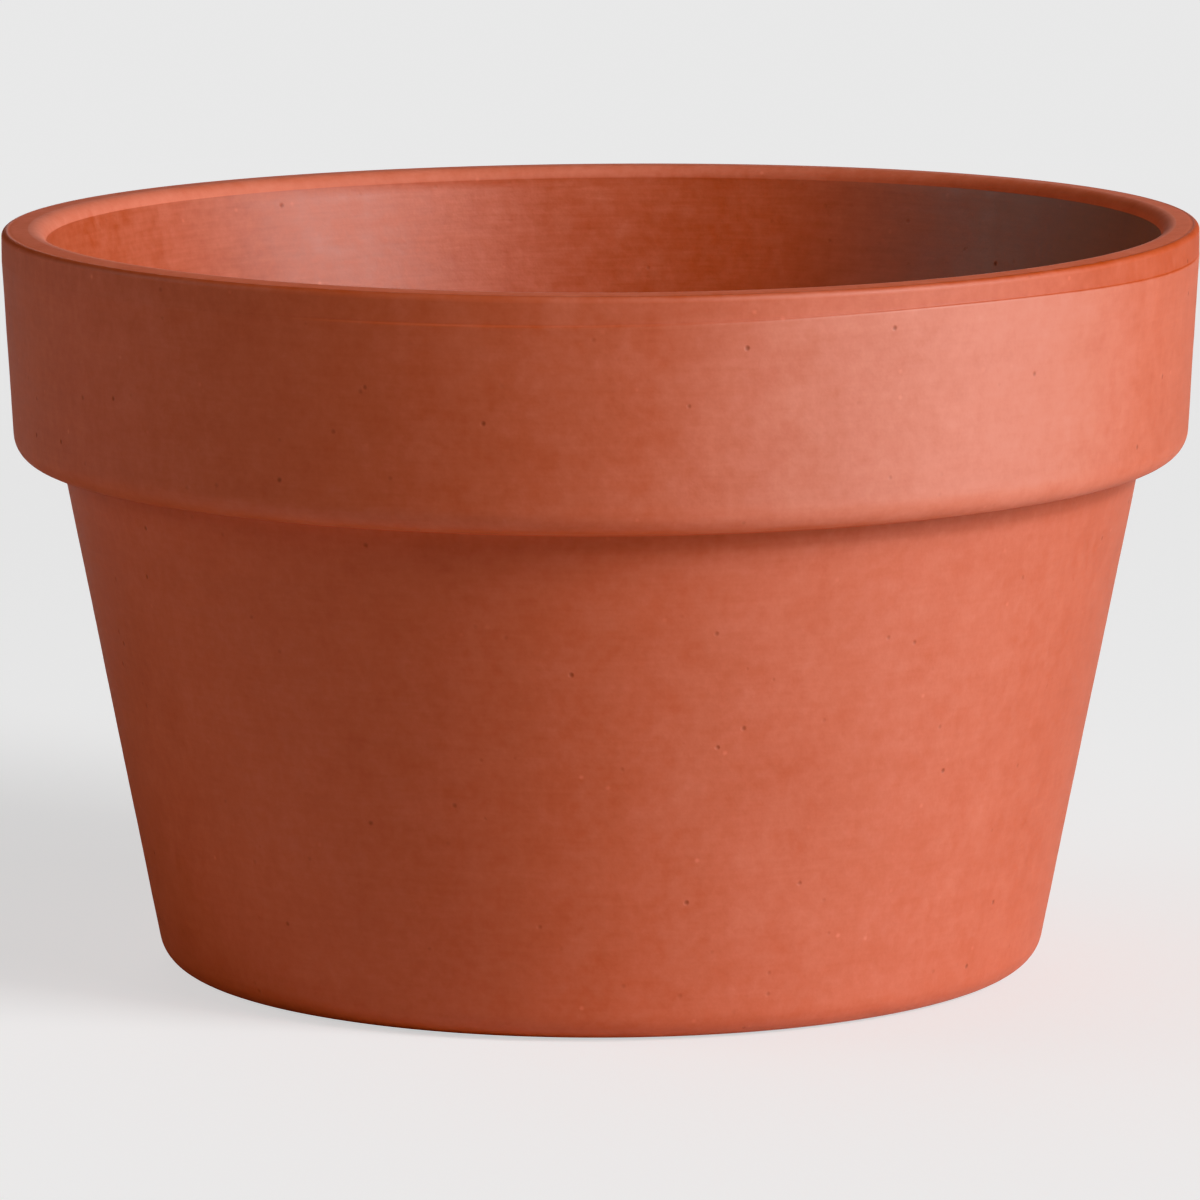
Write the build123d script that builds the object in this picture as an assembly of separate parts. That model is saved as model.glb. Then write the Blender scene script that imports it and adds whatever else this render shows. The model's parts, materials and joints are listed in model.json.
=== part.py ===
from build123d import *
import os

# Low round flower pot, one piece of unglazed fired clay (terracotta).
# Millimetres, +Z up. The origin is the centre of the plane that the foot ring stands on,
# and +Z is the axis that the pot was turned about.

# Overall size
DIAMETER = 200.0           # widest, across the ridge near the top of the rim band
HEIGHT = 125.0             # foot ring to lip

# Rim band, the thick collar around the top
BAND_HEIGHT = 39.3         # from the ledge under the band to the lip
BAND_BOTTOM_RADIUS = 98.0  # outside of the band where it meets the ledge
BAND_EDGE_ROUND = 4.5      # lower outer edge of the band
COLLAR_HEIGHT = 5.2        # smooth ring between the ridge and the lip
COLLAR_INSET = 0.25        # the collar is this much inside the ridge
RIDGE_SLOPE_HEIGHT = 0.5   # height over which the ridge falls back to the collar

# Lip
LIP_INNER_RADIUS = 93.5    # inside of the wall, extended up to the lip plane
LIP_OUTER_ROUND = 1.0
LIP_INNER_ROUND = 2.6

# Body, the plain cone under the band
BODY_TOP_RADIUS = 90.4     # where the body meets the ledge
BODY_BOTTOM_RADIUS = 73.7  # outside of the body, extended down to the base plane
LEDGE_ROUND = 0.8          # hollow corner between the body and the ledge
HEEL_ROUND = 5.0           # lower outer edge of the body

# Inside
FLOOR_TOP = 9.5            # top of the floor above the base plane
FLOOR_RADIUS = 66.4        # inside of the wall, extended down to the floor
FLOOR_CORNER_ROUND = 10.0

# Underside: a shallow hollow leaves a foot ring
RECESS_RADIUS = 58.0
RECESS_DEPTH = 1.5
FOOT_INNER_ROUND = 1.0     # inner edge of the foot ring
RECESS_CORNER_ROUND = 0.7

# Drainage hole in the middle of the floor
DRAIN_RADIUS = 11.0
DRAIN_EDGE_ROUND = 1.5     # rounding at both ends of the hole

SHARP = 0.0                # a corner with no rounding


def outline_corners():
    """Corners of half the section as (radius, height, rounding), from the drainage hole outwards and back."""
    ledge = HEIGHT - BAND_HEIGHT
    ridge = HEIGHT - COLLAR_HEIGHT
    ridge_radius = DIAMETER / 2
    collar_radius = ridge_radius - COLLAR_INSET
    underside = [
        (DRAIN_RADIUS, RECESS_DEPTH, DRAIN_EDGE_ROUND),
        (RECESS_RADIUS, RECESS_DEPTH, RECESS_CORNER_ROUND),
        (RECESS_RADIUS + RECESS_DEPTH, 0.0, FOOT_INNER_ROUND),
    ]
    outside = [
        (BODY_BOTTOM_RADIUS, 0.0, HEEL_ROUND),
        (BODY_TOP_RADIUS, ledge, LEDGE_ROUND),
        (BAND_BOTTOM_RADIUS, ledge, BAND_EDGE_ROUND),
        (ridge_radius, ridge, SHARP),
        (collar_radius, ridge + RIDGE_SLOPE_HEIGHT, SHARP),
        (collar_radius, HEIGHT, LIP_OUTER_ROUND),
    ]
    inside = [
        (LIP_INNER_RADIUS, HEIGHT, LIP_INNER_ROUND),
        (FLOOR_RADIUS, FLOOR_TOP, FLOOR_CORNER_ROUND),
        (DRAIN_RADIUS, FLOOR_TOP, DRAIN_EDGE_ROUND),
    ]
    return underside + outside + inside


def half_section():
    """The wall and floor cut through the axis, in the XZ plane, with its corners rounded."""
    corners = outline_corners()
    section = make_face(Polyline(*[(radius, height) for radius, height, _ in corners], close=True))
    for radius, height, rounding in corners:
        if rounding == SHARP:
            continue
        corner = section.vertices().sort_by_distance((radius, height, 0))[0]
        section = fillet(corner, rounding)
    return Plane.XZ * section


def pot():
    """The whole pot is one body of clay, so it is one solid of revolution."""
    return revolve(half_section(), axis=Axis.Z, revolution_arc=360)


os.makedirs("parts", exist_ok=True)
export_step(pot(), "parts/pot.step")
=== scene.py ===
import json
import math

import bpy
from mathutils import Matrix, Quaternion, Vector, noise


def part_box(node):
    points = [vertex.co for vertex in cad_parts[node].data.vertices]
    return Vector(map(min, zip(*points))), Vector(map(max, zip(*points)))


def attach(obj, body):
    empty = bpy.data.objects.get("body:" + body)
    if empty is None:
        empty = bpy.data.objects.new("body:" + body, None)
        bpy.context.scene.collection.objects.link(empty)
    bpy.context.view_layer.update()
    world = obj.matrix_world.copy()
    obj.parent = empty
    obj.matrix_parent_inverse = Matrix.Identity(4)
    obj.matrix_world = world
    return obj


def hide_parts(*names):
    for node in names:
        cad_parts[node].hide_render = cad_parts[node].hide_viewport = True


# A low flower pot of unglazed terracotta, turned as one closed skin of clay.
# Outlines are in millimetres and become metres when the vertices are made.

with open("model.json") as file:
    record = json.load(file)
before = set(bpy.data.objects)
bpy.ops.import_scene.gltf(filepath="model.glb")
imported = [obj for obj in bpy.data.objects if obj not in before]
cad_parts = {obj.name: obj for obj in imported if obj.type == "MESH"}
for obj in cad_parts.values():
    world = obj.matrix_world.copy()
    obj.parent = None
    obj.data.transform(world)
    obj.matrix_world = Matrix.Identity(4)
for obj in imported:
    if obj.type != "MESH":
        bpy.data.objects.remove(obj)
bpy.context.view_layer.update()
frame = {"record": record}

MM = 0.001
MOUNTS = {mount["name"]: mount for mount in frame["record"]["mounts"]}
POT_LOW, POT_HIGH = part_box("pot")

# Sizes taken from the frame
OUTER_RADIUS = POT_HIGH.x / MM
HEIGHT = POT_HIGH.z / MM
LEDGE = MOUNTS["ring_seat"]["pos_m"][2] / MM
DRAIN_RADIUS = MOUNTS["drain_hole"]["dims"]["r_mm"]

# Rim band and lip
BAND_BOTTOM_RADIUS = 98.0
BAND_EDGE_ROUND = 4.5
RIDGE_BELOW_LIP = 5.2
RIDGE_ROUND = 0.3
RIDGE_SLOPE = 0.3          # height of the little step above the ridge
COLLAR_INSET = 0.28
COLLAR_ROUND = 0.2
LIP_INNER_RADIUS = 93.5
LIP_FALL = 0.3             # how far the top of the lip slopes down outwards
LIP_OUTER_ROUND = 1.0
LIP_INNER_ROUND = 2.6

# Body
BODY_TOP_RADIUS = 90.35
BODY_BOTTOM_RADIUS = 73.6
LEDGE_ROUND = 0.9
HEEL_ROUND = 5.5

# Inside and underside
FLOOR_TOP = 9.5
FLOOR_RADIUS = 66.4
FLOOR_CORNER_ROUND = 10.0
RECESS_RADIUS = 58.0
RECESS_DEPTH = 1.5
RECESS_CORNER_ROUND = 0.7
FOOT_INNER_ROUND = 1.0
DRAIN_EDGE_ROUND = 1.5

# How far the turned surface strays from a true one. Sides are in radians round from +X
SKIN_ALLOWANCE = 0.15      # room kept inside the CAD outline for turning marks
RIM_WAVE = ((1, 0.37, 0.05), (2, 0.26, 0.15))  # turns, cosine and sine height of the lip's wave
RIDGE_RISE = 1.15          # the ridge wanders up towards the lip at one place
RIDGE_RISE_SIDE = -0.94
RIDGE_RISE_WIDTH = 0.45
RIDGE_REACH_UP = (0.6, 3.4)     # the skin stops following the ridge between these heights above it
RIDGE_REACH_DOWN = (0.3, 14.0)  # and between these depths below it
STEP_SIDE = -1.1           # the step above the ridge is only cut on this side
STEP_FULL = 0.7            # how far round it is full, to either side
STEP_SPREAD = 1.1          # how far round it can be seen at all
STEP_REACH = (2.5, 1.0)    # how far inside the ridge the step's effect on the lip starts and is full
WALL_SHIFT = 0.55          # the inside sits off centre, so the wall is thicker on one side
WALL_SHIFT_MARGIN = 1.0    # the shift fades across the lip, this much nearer the axis than its two sides
LEDGE_SHIFT = 0.13         # the body leans a little: how far it is off centre at the ledge
BASE_SHIFT = -0.15         # and at the foot
GROOVE_DEPTH = 0.08        # a fine line round the top of the lip, near its outer edge
GROOVE_WIDTH = 0.35
GROOVE_INSET = 1.3         # how far the line is from the outer edge
BROAD_MARKS = (11.0, 0.8, 0.045)  # turning marks: spacing along the section, change round the pot, height
FINE_MARKS = (2.1, 1.6, 0.018)
FINE_START = 40.0          # the fine marks start elsewhere in the noise, so the two don't line up
MARKS_RISE = 4.0           # the marks fade in over this height, so that the foot stands flat

# Points of the mesh
ARC_STEP = 0.6             # longest step along a rounded corner
ARC_SHARE = 0.16           # and the longest as a share of its radius
ZONE_EDGE = 0.12           # how close to the end of a straight run its first and last points are
AROUND = 256               # vertices in each ring


def finish(marks, dust_and_sheen, roughness, light, uneven):
    """Surface of a zone: depth of its turning marks, pale dust, roughness, lightness and unevenness."""
    return {"marks": marks, "dust_and_sheen": dust_and_sheen, "roughness": roughness, "light": light, "uneven": uneven}


# Part of the light column is painted light: the lip and its inner rounding are painted lighter for the light
# falling on the top of the lip, and the ledge is painted lighter so that the painted shadow under the band
# starts below its corner
ZONES = {
    "band": finish(1.0, 0.50, 0.56, -0.01, 1.15),
    "collar": finish(0.35, 0.52, 0.58, -0.02, 1.3),
    "shoulder": finish(0.35, 0.55, 0.60, 0.02, 1.0),
    "lip": finish(0.3, 0.40, 0.80, 0.28, 1.3),
    "rim": finish(0.3, 1.20, 0.80, 0.30, 1.3),
    "inside": finish(2.4, 0.25, 0.55, -0.09, 1.6),
    "floor": finish(1.6, 0.45, 0.60, -0.12, 1.6),
    "drain": finish(0.5, 0.45, 0.60, -0.05, 1.0),
    "underside": finish(0.5, 0.45, 0.65, 0.0, 1.0),
    "foot": finish(0.5, 0.55, 0.70, 0.04, 1.0),
    "body": finish(1.0, 0.36, 0.55, -0.02, 1.0),
    "ledge": finish(0.6, 0.50, 0.70, 0.10, 1.0),
}


def patch_on(zones, side, spread, fade=None, light=0.0, dust_and_sheen=0.0, painted_shade=0.0):
    """A side of the pot where light or shade is painted into the clay, and what it adds to the finish.
    It is full at its side and gone at spread away from it. Fade is the height above the ledge where
    it is gone, then the height where it is full."""
    return {"zones": zones, "side": side, "spread": spread, "fade": fade,
            "light": light, "dust_and_sheen": dust_and_sheen, "painted_shade": painted_shade}


BAND = ("band",)
BODY = ("body",)
UPPER_EDGE = ("collar", "shoulder")
INSIDE = ("inside", "floor")

# Sides of the pot, in radians round from +X. Spreads are in radians too
# painted sheen: the side where the key light makes the band and body shine
PAINTED_SHEEN_SIDE = -0.97
# painted light on the band's lower edge and painted shadow under it, on the side the key light falls on
PAINTED_LIT_SIDE = -0.7
# painted shade: the side where the collar's sheen is darkened away
PAINTED_COLLAR_SHADE_SIDE = -0.3
# painted light on the inside's back wall
INSIDE_PAINTED_LIGHT_SIDE = 1.31
# painted shade on the inside wall that the light does not reach
INSIDE_PAINTED_SHADE_SIDE = 0.35

# Light, sheen and shade painted into the clay on one side of the pot or another
PAINTED_LIGHT_PATCHES = [
    # Painted sheen: the band and body paler, pinker and a little lighter where the key light falls on them
    patch_on(BAND, PAINTED_SHEEN_SIDE, 0.54, fade=(-5.0, 5.0), light=0.07, dust_and_sheen=1.05),
    patch_on(BODY, PAINTED_SHEEN_SIDE, 0.594, dust_and_sheen=0.25),
    patch_on(BAND, PAINTED_LIT_SIDE, 1.5, fade=(6.0, 1.0), light=0.14),                 # painted light: the band's lower edge lighter where the key light falls
    patch_on(BODY, PAINTED_LIT_SIDE, 1.5, fade=(-4.6, -2.4), light=-0.17, dust_and_sheen=-0.5),  # painted shadow just under the band, darker and browner on the lit side
    # Painted shade: the collar and shoulder darker and redder on the lit side, which takes their sheen away
    patch_on(UPPER_EDGE, PAINTED_COLLAR_SHADE_SIDE, 1.0, light=-0.12, dust_and_sheen=-0.9),
    # Painted light: the inside's back wall lighter
    patch_on(INSIDE, INSIDE_PAINTED_LIGHT_SIDE, 1.05, light=0.20),
    patch_on(INSIDE, INSIDE_PAINTED_LIGHT_SIDE, 0.6, dust_and_sheen=0.5),                                 # painted light, also paler and pinker in the middle of it
    # Painted shade: the inside wall on this side browner and darker, where the light does not reach
    patch_on(INSIDE, INSIDE_PAINTED_SHADE_SIDE, 0.95, light=0.35, painted_shade=1.3),
]


# ---------------------------------------------------------------- the section

def corner(radius, height, rounding, rounding_zone, zone, spacing):
    """A corner of the half section. The zone and point spacing are those of the run that follows it."""
    return {"at": Vector((radius, height)), "round": rounding, "rounding_zone": rounding_zone,
            "zone": zone, "spacing": spacing}


def section_corners():
    """Corners of the half section: out under the pot, up the outside, over the lip and down the inside."""
    lip = HEIGHT - rim_wave_height()
    ridge = lip - RIDGE_BELOW_LIP
    ridge_radius = OUTER_RADIUS - SKIN_ALLOWANCE
    collar_radius = ridge_radius - COLLAR_INSET
    return [
        corner(DRAIN_RADIUS, RECESS_DEPTH, DRAIN_EDGE_ROUND, "drain", "underside", 6.0),
        corner(RECESS_RADIUS, RECESS_DEPTH, RECESS_CORNER_ROUND, "underside", "underside", 0.8),
        corner(RECESS_RADIUS + RECESS_DEPTH, 0.0, FOOT_INNER_ROUND, "foot", "foot", 1.5),
        corner(BODY_BOTTOM_RADIUS, 0.0, HEEL_ROUND, "body", "body", 1.1),
        corner(BODY_TOP_RADIUS, LEDGE, LEDGE_ROUND, "ledge", "ledge", 0.6),
        corner(BAND_BOTTOM_RADIUS, LEDGE, BAND_EDGE_ROUND, "band", "band", 0.9),
        corner(ridge_radius, ridge, RIDGE_ROUND, "band", "collar", 0.25),
        corner(collar_radius, ridge + RIDGE_SLOPE, COLLAR_ROUND, "collar", "collar", 0.4),
        corner(collar_radius, lip - LIP_FALL, LIP_OUTER_ROUND, "shoulder", "lip", 0.25),
        corner(LIP_INNER_RADIUS, lip, LIP_INNER_ROUND, "rim", "inside", 1.8),
        corner(FLOOR_RADIUS, FLOOR_TOP, FLOOR_CORNER_ROUND, "floor", "floor", 3.5),
        corner(DRAIN_RADIUS, FLOOR_TOP, DRAIN_EDGE_ROUND, "drain", "drain", 1.0),
    ]


def rounded_corner(before, here, after):
    """Points of the arc that rounds a corner, from the run before it to the run after it."""
    back = (before["at"] - here["at"]).normalized()
    on = (after["at"] - here["at"]).normalized()
    half = back.angle(on) / 2
    centre = here["at"] + (back + on).normalized() * here["round"] / math.sin(half)
    start = here["at"] + back * here["round"] / math.tan(half) - centre
    sweep = math.pi - 2 * half
    if back.x * on.y - back.y * on.x > 0:
        sweep = -sweep
    steps = max(3, math.ceil(here["round"] * abs(sweep) / min(ARC_STEP, ARC_SHARE * here["round"])))
    points = []
    for step in range(steps + 1):
        angle = sweep * step / steps
        turned = Vector((start.x * math.cos(angle) - start.y * math.sin(angle),
                         start.x * math.sin(angle) + start.y * math.cos(angle)))
        points.append(centre + turned)
    return points


def run_points(start, end, spacing):
    """Points along a straight run, with one close to each end so that its zone stops sharply there."""
    length = (end - start).length
    edge = min(ZONE_EDGE, length / 4)
    steps = max(1, math.ceil((length - 2 * edge) / spacing))
    shares = [(edge + (length - 2 * edge) * step / steps) / length for step in range(steps + 1)]
    return [start.lerp(end, share) for share in shares]


def section():
    """The closed half section as points with their zone, normal and distance along it."""
    corners = section_corners()
    count = len(corners)
    arcs = [rounded_corner(corners[i - 1], corners[i], corners[(i + 1) % count]) for i in range(count)]
    points = []
    for i in range(count):
        for place in arcs[i]:
            points.append({"at": place, "zone": corners[i]["rounding_zone"]})
        for place in run_points(arcs[i][-1], arcs[(i + 1) % count][0], corners[i]["spacing"]):
            points.append({"at": place, "zone": corners[i]["zone"]})
    along = 0.0
    for i, point in enumerate(points):
        before = points[i - 1]["at"]
        after = points[(i + 1) % len(points)]["at"]
        tangent = (after - before).normalized()
        point["normal"] = Vector((tangent.y, -tangent.x))
        if i:
            along += (point["at"] - before).length
        point["along"] = along
    return points


# ---------------------------------------------------------------- the skin

def ramp(value, low, high):
    """A smooth step from 0 at low to 1 at high."""
    t = min(1.0, max(0.0, (value - low) / (high - low)))
    return t * t * (3 - 2 * t)


def wave(parts, angle):
    """How far a turned edge rises or dips at an angle round the pot."""
    return sum(c * math.cos(turns * angle) + s * math.sin(turns * angle) for turns, c, s in parts)


def rim_wave_height():
    return max(wave(RIM_WAVE, 2 * math.pi * step / AROUND) for step in range(AROUND))


def ridge_wave(angle):
    """How far the ridge rises or dips: it follows the lip, and wanders up towards it at one place."""
    aside = (angle - RIDGE_RISE_SIDE + math.pi) % (2 * math.pi) - math.pi
    return wave(RIM_WAVE, angle) + RIDGE_RISE * math.exp(-(aside / RIDGE_RISE_WIDTH) ** 2)


def near_ridge(place, lip):
    """1 at the ridge on the outside of the pot, fading to 0 above and below it."""
    if place.x < BAND_BOTTOM_RADIUS:
        return 0.0
    above = place.y - (lip - RIDGE_BELOW_LIP)
    if above > 0:
        return 1.0 - ramp(above, *RIDGE_REACH_UP)
    return 1.0 - ramp(-above, *RIDGE_REACH_DOWN)


def turning_marks(along, angle):
    """Height of the shallow rings left by the forming tool, which fade in and out round the pot."""
    total = 0.0
    for start, (spacing, change, height) in ((0.0, BROAD_MARKS), (FINE_START, FINE_MARKS)):
        where = Vector((along / spacing + start, change * math.cos(angle), change * math.sin(angle)))
        total += height * noise.noise(where)
    return total


def groove(point):
    """Depth of the fine line round the top of the lip."""
    if point["zone"] != "lip":
        return 0.0
    inset = OUTER_RADIUS - point["at"].x
    return GROOVE_DEPTH * math.exp(-((inset - GROOVE_INSET) / GROOVE_WIDTH) ** 2)


def sideways(point):
    """How far a point of the section moves along X, because the inside and the body are off centre."""
    place = point["at"]
    if point["zone"] in ("lip", "rim", "inside", "floor", "drain"):
        wall = 1.0 - ramp(place.x, LIP_INNER_RADIUS - WALL_SHIFT_MARGIN, OUTER_RADIUS - WALL_SHIFT_MARGIN)
        return WALL_SHIFT * wall * ramp(place.y, FLOOR_TOP, HEIGHT)
    if point["zone"] in ("underside", "foot", "body", "ledge"):
        body = BASE_SHIFT + (LEDGE_SHIFT - BASE_SHIFT) * place.y / LEDGE
        under_band = ramp(place.x, BODY_TOP_RADIUS, BAND_BOTTOM_RADIUS - BAND_EDGE_ROUND)
        return body * ramp(place.x, DRAIN_RADIUS, RECESS_RADIUS) * (1 - under_band)
    return 0.0


def step_room(point, lip):
    """How far the skin above the ridge could move out to be flush with the band."""
    if point["at"].y < lip - RIDGE_BELOW_LIP - RIDGE_ROUND:
        return 0.0
    inset = OUTER_RADIUS - SKIN_ALLOWANCE - point["at"].x
    return ramp(inset, *STEP_REACH) * min(COLLAR_INSET, inset)


def step_cut(angle):
    """How deep the step above the ridge is cut: 1 on its own side of the pot, 0 on the other."""
    return ramp(math.cos(angle - STEP_SIDE), math.cos(STEP_SPREAD), math.cos(STEP_FULL))


def facing(angle, side, spread):
    """1 where the pot faces a side, fading to 0 at an angle of spread to either side of it."""
    return ramp(math.cos(angle - side), math.cos(spread), 1.0)


def patch_strength(patch, point, angle):
    """How strong a patch is at a point of the section and an angle round the pot, from 0 to 1."""
    if point["zone"] not in patch["zones"]:
        return 0.0
    strength = facing(angle, patch["side"], patch["spread"])
    if patch["fade"]:
        strength *= ramp(point["at"].y - LEDGE, *patch["fade"])
    return strength


def zone_value(name):
    """How to measure a number of the finish that is the same all over a zone."""
    return lambda point, angle: ZONES[point["zone"]][name]


def patched_value(name):
    """How to measure a number of the finish that the patches add to."""
    def measure(point, angle):
        added = sum(patch[name] * patch_strength(patch, point, angle) for patch in PAINTED_LIGHT_PATCHES)
        return ZONES[point["zone"]].get(name, 0.0) + added
    return measure


def pot_mesh():
    """The closed skin of the pot, with what the material needs to know about each point."""
    lip = HEIGHT - rim_wave_height()
    points = section()
    rings = len(points)
    vertices = []
    for point in points:
        place, normal = point["at"], point["normal"]
        marks = ZONES[point["zone"]]["marks"] * ramp(place.y, 0.0, MARKS_RISE)
        cut = groove(point)
        aside = sideways(point)
        room = step_room(point, lip)
        ridge = near_ridge(place, lip)
        for step in range(AROUND):
            angle = 2 * math.pi * step / AROUND
            out = marks * turning_marks(point["along"], angle) - cut
            radius = place.x + out * normal.x + room * (1 - step_cut(angle))
            lift = (1 - ridge) * place.y / HEIGHT * wave(RIM_WAVE, angle) + ridge * ridge_wave(angle)
            height = place.y + out * normal.y + lift
            across = radius * math.cos(angle) + aside
            vertices.append((across * MM, radius * math.sin(angle) * MM, height * MM))
    faces = []
    for ring in range(rings):
        above = (ring + 1) % rings
        for step in range(AROUND):
            beside = (step + 1) % AROUND
            faces.append((ring * AROUND + step, ring * AROUND + beside,
                          above * AROUND + beside, above * AROUND + step))
    mesh = bpy.data.meshes.new("terracotta_pot")
    mesh.from_pydata(vertices, [], faces)
    mesh.polygons.foreach_set("use_smooth", [True] * len(faces))
    store(mesh, points, "along", lambda point, angle: point["along"] * MM)
    for name in ("marks", "roughness", "uneven"):
        store(mesh, points, name, zone_value(name))
    # the light, sheen and shade that the patches paint are stored here as well as each zone's own finish
    for name in ("light", "dust_and_sheen", "painted_shade"):
        store(mesh, points, name, patched_value(name))
    mesh.update()
    return mesh


def store(mesh, points, name, measure):
    """Keep a number for every vertex as an attribute, measured from its section point and angle."""
    angles = [2 * math.pi * step / AROUND for step in range(AROUND)]
    layer = mesh.attributes.new(name, "FLOAT", "POINT")
    layer.data.foreach_set("value", [measure(point, angle) for point in points for angle in angles])


def make_pot(material):
    pot = bpy.data.objects.new("terracotta_pot", pot_mesh())
    bpy.context.scene.collection.objects.link(pot)
    pot.data.materials.append(material)
    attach(pot, "root")
    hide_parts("pot")
    return pot


# ---------------------------------------------------------------- material nodes

# The colour sockets of a Mix node, which shares its socket names between data types
COLOUR_A = 6
COLOUR_B = 7
COLOUR_RESULT = 2


def add(tree, kind, inputs=None, **settings):
    """A new node. An input that is a socket is linked, and any other is set as a value."""
    node = tree.nodes.new(kind)
    for name, value in settings.items():
        setattr(node, name, value)
    for name, value in (inputs or {}).items():
        if isinstance(value, bpy.types.NodeSocket):
            tree.links.new(value, node.inputs[name])
        else:
            node.inputs[name].default_value = value
    return node


def calculate(tree, operation, first, second=0.0, clamp=False):
    node = add(tree, "ShaderNodeMath", {0: first, 1: second}, operation=operation, use_clamp=clamp)
    return node.outputs["Value"]


def between(tree, value, low, high, new_low=0.0, new_high=1.0):
    """A value spread from one range to another with soft ends."""
    node = add(tree, "ShaderNodeMapRange",
               {"Value": value, "From Min": low, "From Max": high, "To Min": new_low, "To Max": new_high},
               interpolation_type="SMOOTHSTEP")
    return node.outputs["Result"]


def attribute(tree, name):
    return add(tree, "ShaderNodeAttribute", attribute_name=name).outputs["Fac"]


def object_place(tree):
    return add(tree, "ShaderNodeTexCoord").outputs["Object"]


def stretched(tree, across, along):
    """A place on the skin measured in blotches that are so many millimetres across and along the section."""
    scaled = add(tree, "ShaderNodeMapping", {"Vector": object_place(tree), "Scale": (1 / (across * MM),) * 3},
                 vector_type="POINT")
    parts = add(tree, "ShaderNodeSeparateXYZ", {"Vector": scaled.outputs["Vector"]})
    down = calculate(tree, "DIVIDE", attribute(tree, "along"), along * MM)
    joined = add(tree, "ShaderNodeCombineXYZ", {"X": parts.outputs["X"], "Y": parts.outputs["Y"], "Z": down})
    return joined.outputs["Vector"]


def cloud(tree, where, scale, detail=2.0):
    """Noise from about -0.5 to 0.5, with one blotch for each unit of where times scale."""
    node = add(tree, "ShaderNodeTexNoise", {"Vector": where, "Scale": scale, "Detail": detail})
    return calculate(tree, "SUBTRACT", node.outputs["Fac"], 0.5)


def spots(tree, where, spacing, radius, softness):
    """Scattered round spots, few strong and many faint: up to 1 in the middle of a spot, 0 outside it."""
    node = add(tree, "ShaderNodeTexVoronoi", {"Vector": where, "Scale": 1 / (spacing * MM)})
    rim = radius / spacing
    spot = between(tree, node.outputs["Distance"], rim * (1 - softness), rim, 1.0, 0.0)
    chance = add(tree, "ShaderNodeSeparateColor", {"Color": node.outputs["Color"]}).outputs["Red"]
    return calculate(tree, "MULTIPLY", spot, calculate(tree, "POWER", chance, 4.0))


def moved(tree, where, distance):
    """The same place some millimetres away, so that one pattern can be used twice without lining up."""
    node = add(tree, "ShaderNodeVectorMath", {0: where, 1: (distance * MM,) * 3}, operation="ADD")
    return node.outputs["Vector"]


def weigh(tree, layers):
    """The sum of sockets, each times its own weight."""
    total = 0.0
    for socket, weight in layers:
        total = calculate(tree, "ADD", calculate(tree, "MULTIPLY", socket, weight), total)
    return total


# ---------------------------------------------------------------- materials

CLAY = (0.575, 0.112, 0.046, 1.0)     # fired clay where a tool or water left no dust on it
DUST_AND_SHEEN_COLOUR = (0.575, 0.150, 0.085, 1.0)    # the same clay under pale dust, and the colour of the painted sheen where the light falls
PAINTED_SHADE_BROWN = (0.325, 0.138, 0.098, 1.0)   # brown of the painted shade on the inside wall that the light does not reach
CLAY_SHINE = 0.86          # strength of its reflections, where 0.5 is the usual
WHITE = (1.0, 1.0, 1.0, 1.0)

# The floor and the wall
FLOOR_SIZE = 12.0          # metres from the middle to an edge
FLOOR_DROP = 0.0002        # metres from the pot's foot down to the floor, so that the two never touch
FLOOR_PALENESS = 0.9       # how pale the floor is to the light
FLOOR_ROUGHNESS = 0.9
FLOOR_SEEN = 0.45          # how pale the camera sees it
FLOOR_GLOW = 0.6           # and how bright it glows to the camera, so that the shadow stays faint
FLOOR_CLEAR = 0.35         # metres from the pot's axis at which the floor starts to fade into the wall
FLOOR_GONE = 1.3           # and is all wall
WALL_SEEN = 0.87           # how bright the camera sees the wall
WALL_LIGHT = 0.018         # how bright it is to the pot


def new_material(name):
    material = bpy.data.materials.new(name)
    material.use_nodes = True
    return material, material.node_tree, material.node_tree.nodes["Principled BSDF"]


def mixed_colour(tree, factor, first, second):
    node = add(tree, "ShaderNodeMix", {"Factor": factor, COLOUR_A: first, COLOUR_B: second},
               data_type="RGBA", clamp_factor=False)
    return node.outputs[COLOUR_RESULT]


def shaded_colour(tree, colour, shade):
    node = add(tree, "ShaderNodeVectorMath", {0: colour, "Scale": shade}, operation="SCALE")
    return node.outputs["Vector"]


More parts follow.
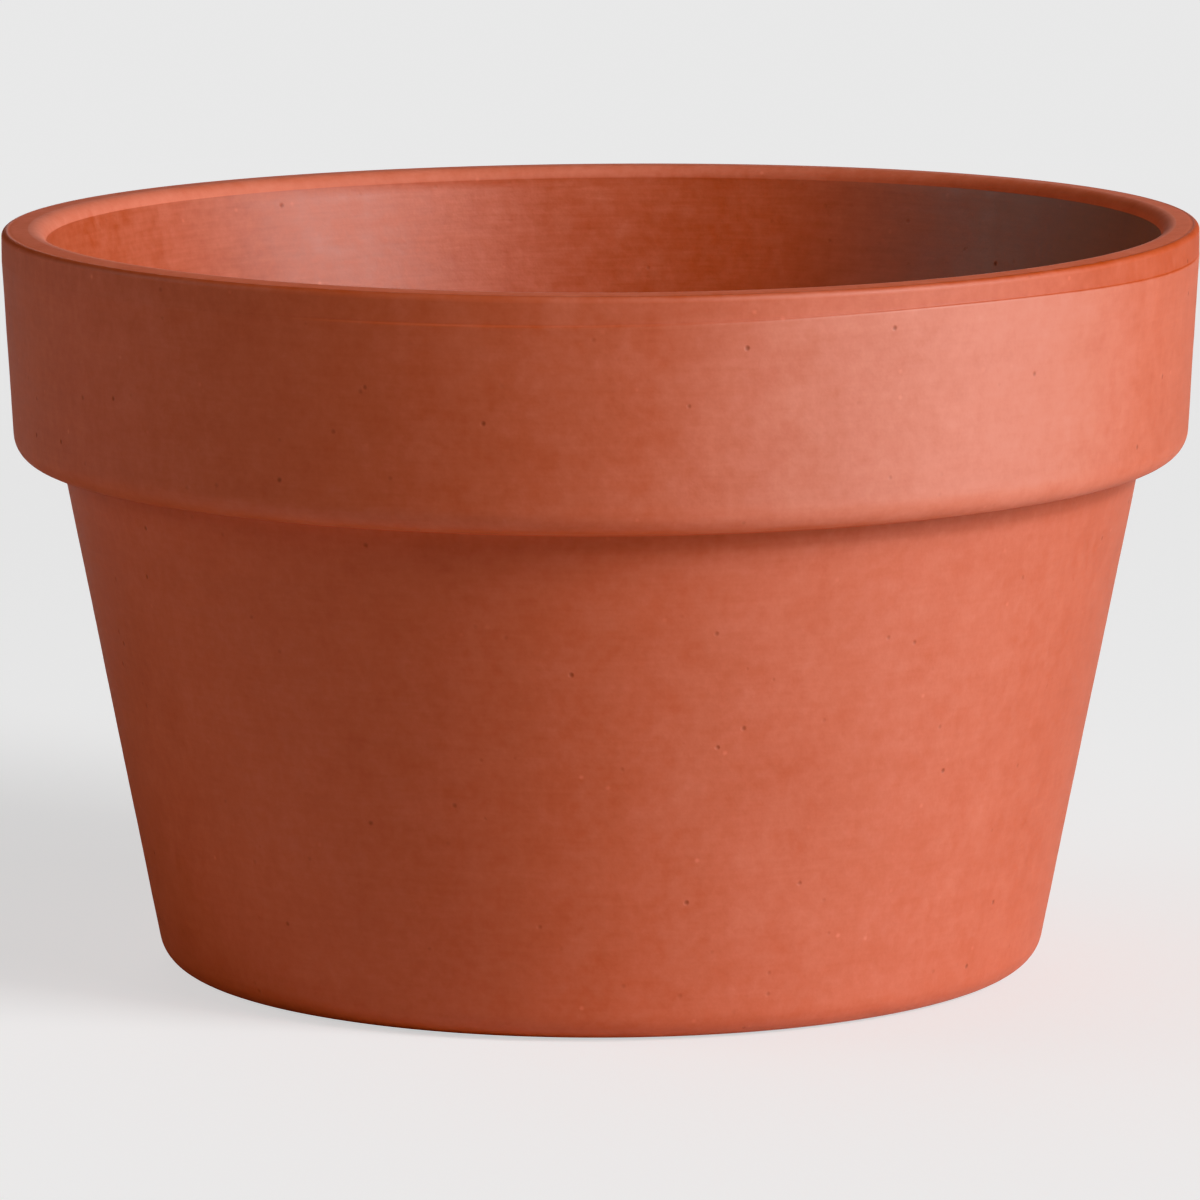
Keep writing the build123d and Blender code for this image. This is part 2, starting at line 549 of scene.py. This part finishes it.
def terracotta():
    material, tree, shader = new_material("terracotta")
    here = object_place(tree)

    patches = cloud(tree, here, 1 / (32 * MM))
    blotches = cloud(tree, here, 1 / (6.0 * MM), detail=3.0)
    mottle = cloud(tree, here, 1 / (1.8 * MM), detail=2.0)
    grain = cloud(tree, here, 1 / (0.45 * MM))
    marks = attribute(tree, "marks")
    rings = cloud(tree, stretched(tree, 30.0, 1.3), 1.0, detail=2.0)
    wipes = cloud(tree, stretched(tree, 2.5, 25.0), 1.0, detail=2.0)
    streaks = calculate(tree, "MULTIPLY", cloud(tree, stretched(tree, 8.0, 0.7), 1.0, detail=2.0), marks)
    pits = spots(tree, here, 4.6, 0.6, 0.9)
    specks = spots(tree, moved(tree, here, 40.0), 4.6, 0.6, 0.9)

    shade = weigh(tree, [(patches, 0.12), (blotches, 0.14), (mottle, 0.13), (grain, 0.04), (rings, 0.05),
                         (streaks, 0.05), (wipes, 0.04), (pits, -0.40), (specks, 0.20)])
    shade = calculate(tree, "MULTIPLY", shade, attribute(tree, "uneven"))
    shade = calculate(tree, "ADD", calculate(tree, "ADD", shade, attribute(tree, "light")), 1.0)
    tone = weigh(tree, [(patches, 0.4), (blotches, 0.9), (mottle, 1.0), (rings, 0.25), (streaks, 0.3),
                        (wipes, 0.2), (specks, 0.5), (attribute(tree, "dust_and_sheen"), 1.0)])
    # tone mixes towards pale dust, and towards painted sheen where the patches put it
    colour = mixed_colour(tree, tone, CLAY, DUST_AND_SHEEN_COLOUR)
    # the painted shade on the inside, browner and darker
    colour = mixed_colour(tree, attribute(tree, "painted_shade"), colour, PAINTED_SHADE_BROWN)
    tree.links.new(shaded_colour(tree, colour, shade), shader.inputs["Base Color"])

    rough = weigh(tree, [(patches, 0.10), (blotches, 0.14), (mottle, 0.10), (rings, 0.06), (pits, 0.2),
                         (attribute(tree, "roughness"), 1.0)])
    tree.links.new(rough, shader.inputs["Roughness"])
    shader.inputs["Specular IOR Level"].default_value = CLAY_SHINE

    height = weigh(tree, [(pits, -0.12), (specks, 0.01), (grain, 0.006), (mottle, 0.03), (blotches, 0.05),
                          (rings, 0.012)])
    bump = add(tree, "ShaderNodeBump", {"Height": height, "Distance": MM, "Strength": 1.0})
    tree.links.new(bump.outputs["Normal"], shader.inputs["Normal"])
    return material


def grey(paleness):
    return (paleness, paleness, paleness, 1.0)


def floor_material():
    """A pale matt floor. The camera sees it near white and fading into the wall further off.
    The pot gets only the light that the floor really sends back."""
    material, tree, shader = new_material("floor")
    shader.inputs["Base Color"].default_value = grey(FLOOR_PALENESS)
    shader.inputs["Roughness"].default_value = FLOOR_ROUGHNESS
    seen = add(tree, "ShaderNodeBsdfPrincipled", {
        "Base Color": grey(FLOOR_SEEN), "Roughness": FLOOR_ROUGHNESS,
        "Emission Color": WHITE, "Emission Strength": FLOOR_GLOW})
    wall = add(tree, "ShaderNodeEmission", {"Color": WHITE, "Strength": WALL_SEEN})
    distance = add(tree, "ShaderNodeVectorMath", {0: object_place(tree)}, operation="LENGTH").outputs["Value"]
    fading = add(tree, "ShaderNodeMixShader",
                 {0: between(tree, distance, FLOOR_CLEAR, FLOOR_GONE), 1: seen.outputs["BSDF"],
                  2: wall.outputs["Emission"]})
    camera_ray = add(tree, "ShaderNodeLightPath").outputs["Is Camera Ray"]
    choice = add(tree, "ShaderNodeMixShader",
                 {0: camera_ray, 1: shader.outputs["BSDF"], 2: fading.outputs["Shader"]})
    tree.links.new(choice.outputs["Shader"], tree.nodes["Material Output"].inputs["Surface"])
    return material


# ---------------------------------------------------------------- the studio

CAMERA_BACK = 1.400        # metres in front of the pot's axis
CAMERA_UP = 0.280
CAMERA_SIDE = -0.00019
CAMERA_PITCH = 0.15554     # radians below level
CAMERA_ROLL = -0.0018
LENS = 252.75
SENSOR_WIDTH = 36.0
LIGHT_SIZE = 1.2           # metres along each side
LIGHT_DISTANCE = 3.0       # metres from the middle of the pot


def make_floor():
    mesh = bpy.data.meshes.new("floor")
    corners = [(x * FLOOR_SIZE, y * FLOOR_SIZE, 0) for x, y in ((-1, -1), (1, -1), (1, 1), (-1, 1))]
    mesh.from_pydata(corners, [], [(0, 1, 2, 3)])
    floor = bpy.data.objects.new("floor", mesh)
    floor.location.z = -FLOOR_DROP
    floor.data.materials.append(floor_material())
    bpy.context.scene.collection.objects.link(floor)


def make_camera():
    camera = bpy.data.objects.new("camera", bpy.data.cameras.new("camera"))
    camera.data.sensor_width = SENSOR_WIDTH
    camera.data.lens = LENS
    camera.location = (CAMERA_SIDE, -CAMERA_BACK, CAMERA_UP)
    camera.rotation_mode = "QUATERNION"
    tilt = Quaternion((1.0, 0.0, 0.0), math.pi / 2 - CAMERA_PITCH)
    camera.rotation_quaternion = tilt @ Quaternion((0.0, 0.0, 1.0), CAMERA_ROLL)
    bpy.context.scene.collection.objects.link(camera)
    bpy.context.scene.camera = camera


def soft_light(name, azimuth, elevation, power):
    """A square soft light that faces the pot. Azimuth 0 is the camera's side, and 90 is its right."""
    light = bpy.data.objects.new(name, bpy.data.lights.new(name, "AREA"))
    light.data.size = LIGHT_SIZE
    light.data.energy = power
    a, e = math.radians(azimuth), math.radians(elevation)
    offset = Vector((math.sin(a) * math.cos(e), -math.cos(a) * math.cos(e), math.sin(e))) * LIGHT_DISTANCE
    light.location = Vector((0.0, 0.0, HEIGHT * MM / 2)) + offset
    light.rotation_mode = "QUATERNION"
    light.rotation_quaternion = (-offset).to_track_quat("-Z", "Y")
    bpy.context.scene.collection.objects.link(light)


def make_world():
    """A pale wall for the camera to see, which sends the pot only a little light."""
    world = bpy.data.worlds.new("studio")
    world.use_nodes = True
    tree = world.node_tree
    camera_ray = add(tree, "ShaderNodeLightPath").outputs["Is Camera Ray"]
    bright = add(tree, "ShaderNodeMapRange", {"Value": camera_ray, "To Min": WALL_LIGHT, "To Max": WALL_SEEN})
    background = tree.nodes["Background"]
    background.inputs["Color"].default_value = WHITE
    tree.links.new(bright.outputs["Result"], background.inputs["Strength"])
    bpy.context.scene.world = world


def light_studio():
    soft_light("key", 60, 27, 63.0)
    soft_light("window", 75, 3, 44.0)
    soft_light("top", 45, 40, 17.0)
    soft_light("fill", -90, 25, 16.0)
    soft_light("back", 180, 8, 10.0)
    soft_light("back_fill", -120, 5, 3.0)
    bpy.context.scene.view_settings.view_transform = "Khronos PBR Neutral"


make_camera()
make_pot(terracotta())
make_floor()
make_world()
light_studio()
